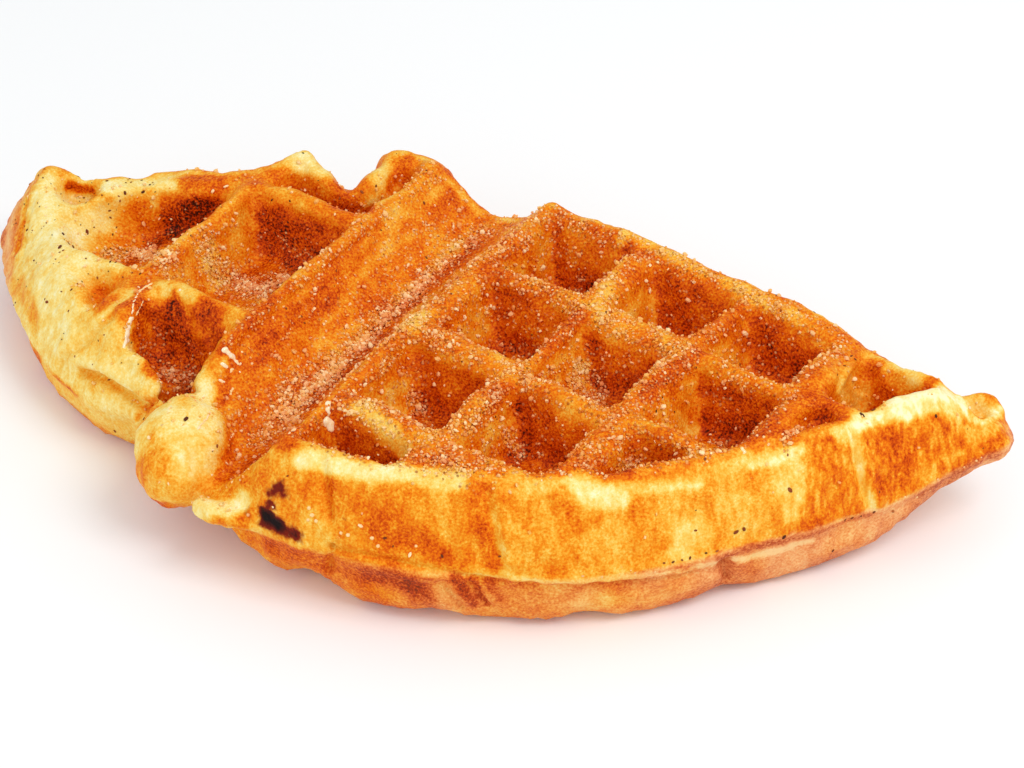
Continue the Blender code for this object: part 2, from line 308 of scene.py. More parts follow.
def sideMask(data, points, normals):
    # 1 on the outside walls, which nothing stands in front of
    tree = BVHTree.FromPolygons([tuple(p) for p in points], [tuple(f.vertices) for f in data.polygons])
    mask = np.zeros(len(points))
    level = np.hypot(normals[:, 0], normals[:, 1])
    for index in np.nonzero(level > crust["steep"])[0]:
        out = Vector((normals[index, 0], normals[index, 1], 0.0)).normalized()
        start = Vector(points[index]) + out * 0.6
        if tree.ray_cast(start, out, 200.0)[0] is None:
            mask[index] = 1.0
    return mask, tree


def insideRim(points, side):
    # 1 in the pockets and on their ridges, 0 on the walls and below
    return (1.0 - side) * ease((points[:, 2] - crust["pocketFloor"]) / 3.0)


def fineSkin():
    # the solid's own form as an even fine skin, in millimetres
    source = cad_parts["croffle"].data
    shell = bmesh.new()
    shell.from_mesh(source)
    bmesh.ops.remove_doubles(shell, verts=shell.verts, dist=1e-6)
    bmesh.ops.scale(shell, verts=shell.verts, vec=(1000.0, 1000.0, 1000.0))
    data = bpy.data.meshes.new("solid")
    shell.to_mesh(data)
    shell.free()
    return withModifiers(data, [("REMESH", {"mode": "VOXEL", "voxel_size": crust["cell"]})])


def shapeSkin(data):
    # relaxes the facets, then adds folds, fibres and blisters
    edges = meshEdges(data)
    points = spread(meshPoints(data), edges, crust["relaxed"])
    setPoints(data, points)
    normals = meshNormals(data)
    side, tree = sideMask(data, points, normals)
    side = spread(side, edges, 6)
    crisp = np.sum((points - spread(points, edges, crust["crispReach"])) * normals, axis=1)
    lift = np.clip(crust["crisp"] * crisp, -crust["crispMost"], crust["crispMost"])
    lift *= insideRim(points, side)
    for sign, strokes in ((-1.0, creases), (1.0, puffs)):
        for height, width, route in strokes:
            away = routeDistance(points, tree, route)
            lift += sign * height * np.exp(-(away / width) ** 2)
    steady = ease(points[:, 2] / crust["steady"])
    lift += crust["blister"] * field(points, 2.6, 3) + crust["grit"] * field(points, 1.1, 5)
    lift += crust["fibre"] * side * field(points, 1.2, 7, (1.0, 1.0, 0.14))
    setPoints(data, inBox(points + normals * (lift * steady)[:, None]))


def thinSkin(data):
    # fewer triangles where nobody looks closely: the underside
    below = (meshNormals(data)[:, 2] < -0.3) & (meshPoints(data)[:, 2] < crust["pocketFloor"])
    holder = newObject("holder", data)
    group = holder.vertex_groups.new(name="below")
    for chosen, freely in ((below, 1.0), (~below, crust["keptAbove"])):
        group.add([int(index) for index in np.nonzero(chosen)[0]], freely, "REPLACE")
    modifier = holder.modifiers.new("fewer", "DECIMATE")
    modifier.ratio = crust["triangles"] / sum(len(face.vertices) - 2 for face in data.polygons)
    modifier.vertex_group = "below"
    modifier.use_collapse_triangulate = True
    return finishedMesh(holder)


print("skin")
skinMesh = fineSkin()
print("skin cells", len(skinMesh.polygons))
shapeSkin(skinMesh)
print("skin shaped")
skinMesh = thinSkin(skinMesh)
print("skin triangles", len(skinMesh.polygons))


# how far each place is baked: 0 cream, 0.25 pale gold, 0.5 golden orange, 0.75 red brown, 1 burnt
bakedPlaces = [
    # baked, strength, half width in millimetres, route in the photo's pixels
    (0.11, 0.92, 6.5, [(45, 200), (55, 240), (50, 290), (62, 335)]),  # the left end
    (0.15, 0.90, 5.0, [(85, 200), (95, 225), (85, 290)]),
    (0.20, 0.80, 3.5, [(85, 345), (110, 330)]),
    (0.22, 0.90, 2.6, [(118, 352), (130, 348)]),
    (0.12, 0.90, 3.2, [(95, 365), (125, 385), (140, 400)]),
    (0.24, 0.85, 1.7, [(160, 290), (176, 292), (190, 297)]),
    (0.17, 0.88, 4.5, [(20, 270), (30, 330), (40, 370), (90, 405), (120, 415)]),
    (0.28, 0.92, 2.6, [(28, 338), (46, 366), (66, 392), (92, 416), (124, 434)]),
    (0.38, 0.88, 2.6, [(18, 205), (9, 235), (6, 262), (11, 290)]),
    (0.16, 0.90, 2.4, [(140, 375), (152, 390), (135, 360)]),
    (0.18, 0.95, 4.6, [(165, 410), (180, 430), (190, 460)]),  # front end of the left crest
    (0.10, 0.90, 2.6, [(200, 395), (205, 420)]),
    (0.45, 0.60, 2.0, [(160, 452)]),
    (0.32, 0.75, 2.6, [(165, 488), (185, 498)]),
    (0.14, 1.00, 2.0, [(197, 508), (220, 507), (245, 500)]),  # the tongue
    (0.14, 0.90, 3.2, [(300, 160), (318, 168)]),  # peak on the back rim
    (0.65, 0.80, 2.4, [(275, 178), (300, 185), (318, 188)]),
    (0.10, 0.90, 2.0, [(110, 186), (150, 184), (172, 183)]),
    (0.72, 0.70, 1.8, [(185, 178), (215, 182)]),
    (0.20, 0.80, 2.4, [(366, 170), (382, 168)]),
    (0.92, 0.90, 3.0, [(160, 240), (180, 220), (198, 206)]),  # pockets of the left part
    (0.57, 0.75, 2.6, [(105, 250), (128, 232), (146, 224)]),
    (0.82, 0.90, 3.0, [(160, 318), (165, 345), (175, 368), (186, 376)]),
    (0.78, 0.90, 1.4, [(141, 308), (139, 335), (144, 358), (152, 372)]),
    (0.92, 0.85, 2.0, [(174, 306), (180, 322), (184, 335)]),
    (0.81, 0.85, 2.6, [(208, 316), (214, 340)]),
    (0.80, 0.80, 1.6, [(200, 348), (194, 366)]),
    (0.84, 0.80, 3.0, [(275, 222), (292, 250)]),
    (0.50, 0.60, 2.2, [(243, 225), (250, 258)]),
    (0.44, 0.80, 2.6, [(85, 290), (97, 288)]),  # dent beside the last left pocket
    (0.66, 0.85, 1.7, [(100, 294), (105, 306)]),
    (0.56, 0.75, 1.6, [(118, 284), (134, 281)]),
    (0.24, 0.85, 0.9, [(130, 292), (112, 308), (95, 324), (72, 344)]),
    (0.80, 0.90, 1.1, [(70, 186), (80, 189), (92, 190)]),  # the small hole
    (0.56, 0.75, 0.4, [(29, 196), (24, 222), (19, 250), (19, 268)]),  # left edge
    (0.54, 0.75, 0.3, [(23, 198), (15, 228), (10, 256), (12, 280)]),
    (0.20, 0.75, 0.4, [(26, 198), (19, 226), (14, 254)]),
    (0.50, 0.65, 1.7, [(21, 284), (29, 304), (37, 322)]),
    (0.38, 0.90, 0.8, [(84, 374), (97, 377), (114, 387), (130, 398), (146, 409)]),  # painted shade along the folds
    (0.56, 0.80, 0.5, [(137, 418), (145, 406), (157, 398), (172, 394), (195, 389)]),
    (0.72, 0.85, 1.1, [(408, 160), (392, 182), (366, 212)]),  # sliver behind the left crest
    (0.52, 0.80, 1.2, [(838, 345), (862, 352), (884, 358)]),
    (0.14, 0.80, 1.8, [(878, 359), (892, 364), (906, 370), (916, 378)]),  # right rim of the last pocket
    (0.80, 0.85, 1.8, [(872, 372), (878, 386), (872, 396)]),
    (0.52, 0.80, 1.6, [(895, 382), (900, 388)]),
    (0.26, 0.80, 0.5, [(849, 369), (842, 378), (838, 392)]),
    (0.30, 0.70, 0.35, [(848, 397), (853, 404), (861, 409)]),
    (0.30, 0.70, 0.35, [(848, 389), (855, 398), (866, 403)]),
    (0.30, 0.70, 1.5, [(460, 480), (520, 486), (555, 486)]),  # front rim
    (0.12, 0.95, 2.2, [(572, 487), (597, 495), (620, 500)]),
    (0.50, 0.75, 1.0, [(640, 470), (665, 468), (700, 463), (733, 455), (757, 449), (790, 438),
                       (820, 430), (845, 425)]),
    (0.26, 0.85, 1.2, [(620, 492), (660, 487), (697, 485)]),
    (0.18, 0.90, 1.0, [(720, 470), (760, 461), (800, 450)]),
    (0.16, 0.90, 1.3, [(840, 432), (857, 424)]),
    (0.08, 0.95, 1.8, [(862, 420), (892, 411), (917, 404)]),
    (0.02, 0.95, 2.8, [(905, 402), (925, 394), (945, 393), (956, 401)]),
    (0.26, 0.90, 1.8, [(970, 404), (982, 411), (990, 413)]),  # the ear
    (0.10, 0.90, 0.8, [(958, 399), (965, 411), (973, 419), (984, 423), (994, 416), (999, 409)]),
    (0.34, 0.80, 1.4, [(998, 425), (985, 435), (960, 428)]),
    (0.22, 0.80, 1.6, [(948, 411), (960, 416)]),
    (0.34, 0.70, 0.6, [(921, 428), (922, 450), (925, 472)]),
    (0.32, 0.70, 0.6, [(932, 426), (934, 448), (936, 470)]),
    (0.12, 0.80, 1.0, [(853, 440), (858, 462), (863, 485), (871, 508)]),
    (0.12, 0.80, 1.0, [(489, 500), (494, 525), (503, 556)]),
    (0.71, 0.82, 1.8, [(479, 492), (481, 525), (492, 562)]),  # front wall
    (0.70, 0.80, 2.6, [(376, 522), (410, 537), (455, 558)]),
    (0.56, 0.60, 2.4, [(350, 480), (370, 500)]),
    (0.46, 0.80, 2.4, [(450, 520), (462, 545)]),
    (0.42, 0.70, 2.4, [(510, 520), (520, 530)]),
    (0.60, 0.70, 2.2, [(560, 500), (572, 525)]),
    (0.33, 0.75, 3.0, [(600, 540), (612, 530)]),
    (0.44, 0.60, 3.0, [(647, 512), (650, 535)]),
    (0.22, 0.88, 2.4, [(684, 548), (690, 535)]),
    (0.36, 0.80, 3.4, [(735, 478), (745, 520), (765, 490)]),
    (0.22, 0.82, 2.6, [(790, 475), (792, 510)]),
    (0.58, 0.85, 2.4, [(822, 462), (838, 490), (850, 508)]),
    (0.67, 0.85, 3.0, [(885, 445), (905, 455), (895, 480)]),
    (0.58, 0.75, 2.6, [(930, 440), (955, 445)]),
    (0.74, 0.75, 1.6, [(960, 470), (985, 455), (1000, 440)]),
    (0.70, 0.88, 3.0, [(280, 548), (310, 558)]),  # below the seam
    (0.58, 0.75, 2.4, [(347, 560)]),
    (0.84, 0.88, 2.4, [(374, 576), (398, 578), (425, 590)]),
    (0.44, 0.90, 1.4, [(440, 588), (452, 602)]),
    (0.86, 0.90, 0.9, [(456, 578), (468, 596), (474, 604)]),
    (0.84, 0.90, 0.8, [(472, 580), (480, 592), (488, 602)]),
    (0.82, 0.80, 0.8, [(488, 582), (500, 598)]),
    (0.50, 0.60, 3.0, [(515, 600), (552, 605)]),
    (0.28, 0.70, 2.4, [(585, 602), (600, 600)]),
    (0.44, 0.75, 3.0, [(635, 597), (700, 578)]),
    (0.40, 0.75, 3.0, [(785, 560), (835, 540), (897, 512)]),
    # the seam's lip
    (0.20, 0.80, 0.5, [(505, 572), (515, 579), (560, 582), (600, 580), (640, 577), (680, 571)]),
    (0.16, 0.90, 0.9, [(700, 566), (750, 557), (777, 550), (810, 541)]),
    (0.70, 0.80, 0.6, [(735, 551), (785, 540), (822, 530), (870, 515)]),
    (0.72, 0.70, 2.0, [(345, 440), (372, 452)]),  # front pocket beside the groove
    (0.08, 0.95, 1.6, [(300, 462), (320, 462), (347, 467), (370, 472), (400, 470)]),
    (0.16, 0.85, 1.5, [(400, 470), (430, 476), (455, 481)]),
    (0.66, 0.75, 3.0, [(262, 400), (275, 432), (290, 425)]),  # front end of the groove
    (0.72, 0.90, 2.2, [(250, 462), (268, 450), (284, 440), (298, 430)]),
    (0.60, 0.70, 3.0, [(300, 350), (250, 405)]),
    (0.72, 0.80, 2.0, [(338, 424), (350, 440), (362, 452)]),
    (0.25, 0.85, 1.9, [(364, 408), (378, 422), (391, 436), (404, 449)]),  # pale wall of the front pocket
    (0.34, 0.80, 1.3, [(594, 218), (625, 232), (660, 250), (700, 268)]),  # back rim
    (0.34, 0.80, 1.3, [(730, 284), (765, 300), (800, 320)]),
    (0.16, 0.80, 0.5, [(652, 489), (676, 487), (700, 485)]),  # pale lines on the rim
    (0.08, 0.80, 0.5, [(750, 467), (768, 462), (785, 457)]),
    # crest beside the groove
    (0.56, 0.60, 0.8, [(318, 402), (350, 375), (402, 328), (440, 294), (482, 258)]),
    (0.75, 0.80, 2.4, [(640, 452), (660, 445)]),  # front row of pockets
    (0.66, 0.70, 2.2, [(395, 365), (412, 372)]),
    (0.82, 0.75, 3.0, [(772, 342), (800, 372)]),
    (0.36, 0.75, 3.0, [(845, 385), (860, 395)]),
    (0.53, 0.75, 2.6, [(570, 245), (605, 262)]),  # back walls of the first row of pockets
    (0.50, 0.60, 2.0, [(535, 234), (545, 248)]),
    (0.48, 0.60, 1.3, [(510, 270), (540, 283)]),
    (0.63, 0.75, 2.6, [(505, 312), (530, 325)]),
    (0.68, 0.75, 2.6, [(435, 380), (465, 398)]),
    (0.72, 0.75, 2.4, [(735, 330), (745, 345)]),  # west walls that stay darker
    (0.68, 0.70, 2.2, [(675, 390), (690, 405)]),
    (0.76, 0.75, 1.2, [(645, 392), (675, 370), (700, 352)]),
    # under the drift in the groove
    (0.80, 0.75, 1.6, [(455, 262), (430, 286), (400, 314), (367, 350), (335, 384), (308, 406)]),
    (0.50, 0.75, 0.9, [(432, 166), (400, 194), (360, 228), (311, 268)]),  # left crest
    (0.72, 0.85, 1.1, [(290, 286), (255, 316), (222, 351)]),
    (0.75, 0.80, 1.8, [(578, 316), (545, 345)]),  # ridges between the pockets
    (0.76, 0.80, 1.7, [(674, 366), (648, 392)]),
    (0.78, 0.70, 2.4, [(245, 284), (262, 290), (282, 282)]),  # under the left drift
    (0.58, 0.70, 2.0, [(244, 420), (238, 440)]),
]

# sugar and cinnamon lie thickest here: amount, half width, route
sugaredPlaces = [
    # drift in the groove
    (1.00, 2.9, [(418, 291), (398, 306), (364, 341), (332, 374), (302, 400), (284, 418)]),
    (0.80, 2.6, [(484, 232), (462, 246), (436, 272), (418, 291)]),
    (0.78, 2.4, [(300, 380), (272, 420), (262, 440)]),
    (1.00, 3.0, [(108, 254), (128, 254), (150, 252), (163, 258)]),
    (1.00, 3.0, [(240, 284), (262, 290), (284, 280)]),
    (0.80, 3.0, [(205, 245), (215, 268), (232, 280)]),
    (0.85, 1.8, [(165, 372), (178, 380), (192, 380)]),
    (0.80, 1.0, [(76, 197), (92, 197)]),
    (0.86, 2.0, [(575, 385), (600, 402)]),
    (0.86, 1.8, [(498, 392), (470, 426)]),
    (0.88, 1.6, [(412, 395), (420, 410), (438, 432)]),
    (0.88, 2.0, [(430, 462), (446, 458), (462, 470)]),
    (0.84, 1.8, [(638, 460), (618, 472)]),
    (0.85, 1.8, [(800, 430), (786, 442)]),
    (0.85, 1.6, [(720, 446), (700, 452)]),
    (0.80, 1.3, [(652, 340), (670, 352), (690, 350)]),  # on the crossings and beside them
    (0.74, 1.3, [(560, 300), (588, 306), (600, 318)]),
    (0.80, 1.3, [(506, 366), (520, 372), (530, 382)]),
    (0.80, 1.3, [(576, 362), (592, 372), (606, 392)]),
    (0.86, 1.5, [(505, 436), (514, 446), (520, 458)]),
    (0.78, 1.2, [(505, 268), (535, 281), (560, 294)]),
]

# the burn on the front, in the same way
burntPlaces = [
    (1.00, 1.25, [(265, 515), (271, 520), (279, 526)]),
    (0.56, 1.2, [(263, 523), (284, 531), (296, 535)]),
    (0.55, 0.9, [(274, 507), (269, 504)]),
    (0.47, 1.35, [(270, 494), (279, 486), (282, 492)]),
    (0.34, 0.8, [(247, 513), (249, 518)]),
    (0.34, 0.6, [(345, 518)]),
]

# how baked each part is on the whole, and how much more or less its own parts are; some of these shifts are
# painted shade and painted light, as noted
browning = {
    "ridges": 0.60,
    "groove": 0.56,
    "walls": 0.50,
    "below": 0.56,  # under the seam
    "most": 0.80,  # before the places above are painted
    "deep": 0.07,  # in the pockets' depths
    # back walls darker and west walls paler by which way they face: partly browning, partly painted shade
    # and painted light
    "shadedBackWalls": 0.15,
    "litWestWalls": -0.10,
    # darker in concave creases and corners, paler on convex edges: painted shade and painted light
    "cavityShadeAndEdgeLight": 0.06,
    "rim": -0.25,
    "lip": -0.16,
    # a painted shadow line under the seam's lip
    "shadowUnderLip": 0.14,
}

# least sugar on the crests and in the pockets, and how much less of it at the far ends
dusting = {"crests": 0.58, "pockets": 0.22, "farEnds": 0.9}
leftPink = 0.75  # how dull and pinkish the left edge is


def paint(points, tree, values, places):
    # blends values towards each place's own, with an uneven border
    wander = 1.0 + 0.28 * field(points, 2.4, 41) + 0.12 * field(points, 0.9, 43)
    for target, strength, width, route in places:
        away = routeDistance(points, tree, route) * wander
        weight = strength * np.exp(-(away / width) ** 4)
        values = values * (1.0 - weight) + target * weight
    return values


def gather(points, tree, places):
    # the most that any of the places gives each point
    wander = 1.0 + 0.30 * field(points, 2.0, 47) + 0.25 * field(points, 0.8, 48)
    most = np.zeros(len(points))
    for amount, width, route in places:
        away = routeDistance(points, tree, route) * wander
        most = np.maximum(most, amount * np.exp(-(away / width) ** 2))
    return most


def crustMarks(data):
    # how baked, sugared and burnt each point is, kept as the mesh's own attributes
    points = meshPoints(data)
    normals = meshNormals(data)
    edges = meshEdges(data)
    side, tree = sideMask(data, points, normals)
    side = spread(side, edges, 4)
    rim = spread(side, edges, 24)
    across, along = ironSquares(points)
    depth = np.clip(ridgeHeight(points) - points[:, 2], 0.0, 14.0)
    hollow = np.sum((spread(points, edges, 10) - points) * normals, axis=1)
    inside = insideRim(points, side)
    turn = iron["turn"]
    facingFront = normals[:, 0] * math.sin(turn) - normals[:, 1] * math.cos(turn)
    facingRight = normals[:, 0] * math.cos(turn) + normals[:, 1] * math.sin(turn)
    pocketed = inside * ease((depth - 1.2) / 2.5)
    groove = ease((across - iron["leftCrest"] - 0.05) / 0.1) * ease((-0.06 - across) / 0.1) * inside

    # ridges and pockets, whose back walls are darker than their west walls: partly their own browning,
    # partly painted shade and painted light by which way each wall faces
    baked = browning["ridges"] + 0.10 * field(points, 9.0, 11) + 0.07 * field(points, 3.6, 13)
    steep = pocketed * (1.0 - groove) * ease((np.hypot(normals[:, 0], normals[:, 1]) - 0.3) / 0.2)
    shadedBackWall = ease((facingFront - facingRight + 0.10) / 0.20) * ease((facingFront - 0.1) / 0.2)
    litWestWall = ease((facingRight - facingFront + 0.10) / 0.20) * ease((facingRight - 0.1) / 0.2)
    deep = browning["deep"] * pocketed * (1.0 - groove) * ease((depth - 6.0) / 3.0)
    baked += deep + steep * (browning["shadedBackWalls"] * shadedBackWall + browning["litWestWalls"] * litWestWall)
    baked += steep * litWestWall * (0.10 * field(points, 2.2, 71) + 0.07 * field(points, 1.0, 73))

    # the groove is streaked along its length
    squares = np.stack([across * iron["square"], along * iron["square"], points[:, 2]], axis=1)
    streaks = field(squares, 3.0, 17, (1.0, 0.28, 1.0))
    finer = field(squares, 1.3, 18, (1.0, 0.3, 1.0))
    baked = baked * (1.0 - groove) + groove * (browning["groove"] + 0.11 * streaks + 0.10 * finer)

    # the walls above and below the seam, the seam's pale lip and a painted shadow line under the lip
    aboveSeam = points[:, 2] - seamHeight(points)
    upper = ease(aboveSeam / 0.8)
    wall = browning["walls"] + 0.12 * field(points, 6.0, 23, (1.0, 1.0, 0.5))
    wall += 0.07 * field(points, 1.6, 29, (1.0, 1.0, 0.2))
    under = browning["below"] + 0.10 * field(points, 5.0, 31) + 0.05 * field(points, 1.8, 37)
    baked = baked * inside + (1.0 - inside) * (wall * upper + under * (1.0 - upper))
    nearRim = ease((rim - 0.15) / 0.25) * (1.0 - side) * inside * ease((1.5 - across) / 1.0)
    baked += browning["rim"] * nearRim
    baked += browning["lip"] * np.exp(-((aboveSeam - 0.2) / 0.4) ** 2) * side
    # a painted shadow line just under the seam's lip
    baked += browning["shadowUnderLip"] * np.exp(-((aboveSeam + 0.7) / 0.3) ** 2) * side
    # painted shade in the pockets' concave creases and corners, painted light on their convex edges
    baked += browning["cavityShadeAndEdgeLight"] * np.clip(hollow / 0.25, -1.0, 1.0) * pocketed
    baked = paint(points, tree, np.minimum(baked, browning["most"]), bakedPlaces)

    # sugar lies where it was strewn, on the crests and a little in the pockets
    sugared = gather(points, tree, sugaredPlaces) * ease((normals[:, 2] + 0.1) / 0.4)
    crestDust = ease((2.6 - depth) / 2.0) * inside * ease((across + 1.5) / 0.5)
    crestDust *= 1.0 - 0.8 * ease((rim - 0.3) / 0.3)
    crestDust = dusting["crests"] * crestDust * (0.75 + 0.4 * field(points, 3.0, 53))
    pocketDust = dusting["pockets"] * pocketed * (0.6 + 0.6 * field(points, 3.5, 59))
    sugared = np.maximum(np.maximum(sugared, crestDust), pocketDust)
    farLeft = ease((-60.0 - points[:, 0] + iron["crossing"][0]) / 12.0)
    farEnds = np.maximum(farLeft, ease((across - 2.9) / 0.2))
    sugared *= 1.0 - dusting["farEnds"] * farEnds * (sugared < 0.74)
    sugared = np.clip(sugared, 0.0, 1.0)
    burnt = gather(points, tree, burntPlaces)

    # the dull dough below the seam is pinker towards the right
    pinkish = 0.10 + 0.3 * field(points, 5.0, 61) + 0.3 * ease((points[:, 0] + 18.0) / 15.0)
    pinkish += 0.7 * ease((points[:, 0] - 15.0) / 30.0)
    pink = (1.0 - upper) * side * pinkish * ease((points[:, 0] + 40.0) / 30.0)
    leftEdge = leftPink * side * ease((-76.5 - points[:, 0]) / 2.0)
    pink = np.maximum(pink, leftEdge).clip(0.0, 1.0)

    fibred = side * (0.2 + 0.8 * upper) * (0.55 + 0.6 * ease((points[:, 0] - 40.0) / 12.0))
    marks = (("baked", baked), ("sugared", sugared), ("burnt", burnt), ("side", fibred), ("pink", pink))
    for name, values in marks:
        setAttribute(data, name, values)
    return tree, sugared, baked, side


print("marks")
crustTree, sugaredValues, bakedValues, sideValues = crustMarks(skinMesh)


def newGroup(name, inputs, outputs):
    tree = bpy.data.node_groups.new(name, "ShaderNodeTree")
    for label, kind, value in inputs:
        socket = tree.interface.new_socket(label, in_out="INPUT", socket_type="NodeSocket" + kind)
        if value is not None:
            socket.default_value = value
    for label, kind in outputs:
        tree.interface.new_socket(label, in_out="OUTPUT", socket_type="NodeSocket" + kind)
    return tree, tree.nodes.new("NodeGroupInput"), tree.nodes.new("NodeGroupOutput")


def addNode(tree, kind, inputs=None, **settings):
    # each input is another node's output or a plain value
    made = tree.nodes.new("ShaderNode" + kind)
    for name, value in settings.items():
        setattr(made, name, value)
    for name, value in (inputs or {}).items():
        if isinstance(value, bpy.types.NodeSocket):
            tree.links.new(value, made.inputs[name])
        else:
            made.inputs[name].default_value = value
    return made


def maths(kind):
    # a function that adds one kind of Math node
    def addMath(tree, first, second, clamp=False):
        inputs = {0: first, 1: second}
        return addNode(tree, "Math", inputs, operation=kind, use_clamp=clamp).outputs[0]
    return addMath


plus, minus, times = maths("ADD"), maths("SUBTRACT"), maths("MULTIPLY")


def noise(tree, where, scale, detail=2.0, roughness=0.5):
    settings = {"Vector": where, "Scale": scale, "Detail": detail, "Roughness": roughness}
    return addNode(tree, "TexNoise", settings).outputs[0]


def shiftBy(tree, pattern, amount):
    # a pattern of 0 to 1 as a shift up and down, amount from one end to the other
    return times(tree, minus(tree, pattern, 0.5), amount)


def markOf(tree, name):
    # one of the mesh's own attributes
    return addNode(tree, "Attribute", attribute_name=name).outputs["Fac"]


def mixColours(tree, factor, first, second, kind="MIX"):
    made = addNode(tree, "Mix", {0: factor, 6: first, 7: second}, data_type="RGBA", blend_type=kind)
    return made.outputs[2]


def linear(red, green, blue):
    # a screen colour of 0 to 255 as the shader's own values
    shares = [part / 255.0 for part in (red, green, blue)]
    light = [((share + 0.055) / 1.055) ** 2.4 if share > 0.04 else share / 12.92 for share in shares]
    return (*light, 1.0)


def ramp(tree, factor, stops):
    made = addNode(tree, "ValToRGB", {0: factor})
    bar = made.color_ramp
    while len(bar.elements) < len(stops):
        bar.elements.new(0.5)
    for element, (place, colour) in zip(bar.elements, stops):
        element.position = place
        element.color = linear(*colour)
    return made.outputs[0]


def objectPlace(tree, scale=(1.0, 1.0, 1.0)):
    where = addNode(tree, "TexCoord").outputs["Object"]
    return addNode(tree, "Mapping", {"Vector": where, "Scale": scale}).outputs[0]


# the dough's own colours, from cream to burnt
doughColours = [
    (0.00, (253, 246, 198)),
    (0.12, (250, 229, 147)),
    (0.25, (246, 204, 96)),
    (0.38, (244, 175, 54)),
    (0.50, (238, 142, 22)),
    (0.62, (229, 110, 8)),
    (0.74, (207, 78, 4)),
    (0.86, (170, 50, 4)),
    (0.95, (112, 30, 5)),
    (1.00, (62, 22, 12)),
]
dullColours = [(0.25, (250, 204, 146)), (0.5, (236, 150, 92)), (0.8, (182, 76, 34))]
charColours = [(0.0, (206, 84, 14)), (0.3, (140, 34, 12)), (0.6, (78, 22, 14)), (1.0, (28, 15, 15))]


def doughGroup():
    # colour of dough by how baked it is, with fine unevenness
    tree, given, result = newGroup(
        "bakedDough",
        [("Baked", "Float", 0.5), ("Patches", "Float", 0.4), ("Grain", "Float", 0.8),
         ("Vector", "Vector", None)],
        [("Color", "Color"), ("Value", "Float")],
    )
    where = given.outputs["Vector"]
    patches = shiftBy(tree, noise(tree, where, 360.0), given.outputs["Patches"])
    grain = shiftBy(tree, noise(tree, where, 2600.0, roughness=0.6), given.outputs["Grain"])
    value = plus(tree, given.outputs["Baked"], plus(tree, patches, grain), clamp=True)
    tree.links.new(ramp(tree, value, doughColours), result.inputs["Color"])
    tree.links.new(value, result.inputs["Value"])
    return tree


def grainGroup():
    # fine sugar lying on a surface: its mask, which is its height too, and its colour, with painted shade in
    # the gaps between grains
    tree, given, result = newGroup(
        "sugarDustAndGapShade",
        [("Amount", "Float", 0.5), ("Size", "Float", 1500.0), ("Vector", "Vector", None)],
        [("Mask", "Float"), ("Color", "Color")],
    )
    amount, size, where = given.outputs[:3]
    cells = addNode(tree, "TexVoronoi", {"Vector": where, "Scale": size})
    chance = addNode(tree, "SeparateColor", {"Color": cells.outputs["Color"]})
    present = times(tree, minus(tree, amount, chance.outputs[0]), 8.0, clamp=True)
    dome = times(tree, minus(tree, 0.62, cells.outputs["Distance"]), 3.2, clamp=True)
    # dark cells, partly dark brown granules and partly painted shade between the grains, only where the
    # sugar lies thick
    thin = times(tree, minus(tree, 1.0, amount), 0.55)
    colour = ramp(tree, plus(tree, chance.outputs[1], thin, clamp=True), [
        (0.0, (88, 32, 12)), (0.4, (164, 70, 28)), (0.75, (216, 120, 58)), (1.0, (244, 188, 124)),
    ])
    tree.links.new(times(tree, present, dome), result.inputs["Mask"])
    tree.links.new(colour, result.inputs["Color"])
    return tree


bakedDough = doughGroup()
sugarDustAndGapShade = grainGroup()


def useGroup(tree, group, inputs):
    return addNode(tree, "Group", inputs, node_tree=group)


def newMaterial(name, roughness, gloss=0.3):
    material = bpy.data.materials.new(name)
    material.use_nodes = True
    shader = material.node_tree.nodes["Principled BSDF"]
    shader.inputs["Roughness"].default_value = roughness
    shader.inputs["Specular IOR Level"].default_value = gloss
    return material, material.node_tree, shader


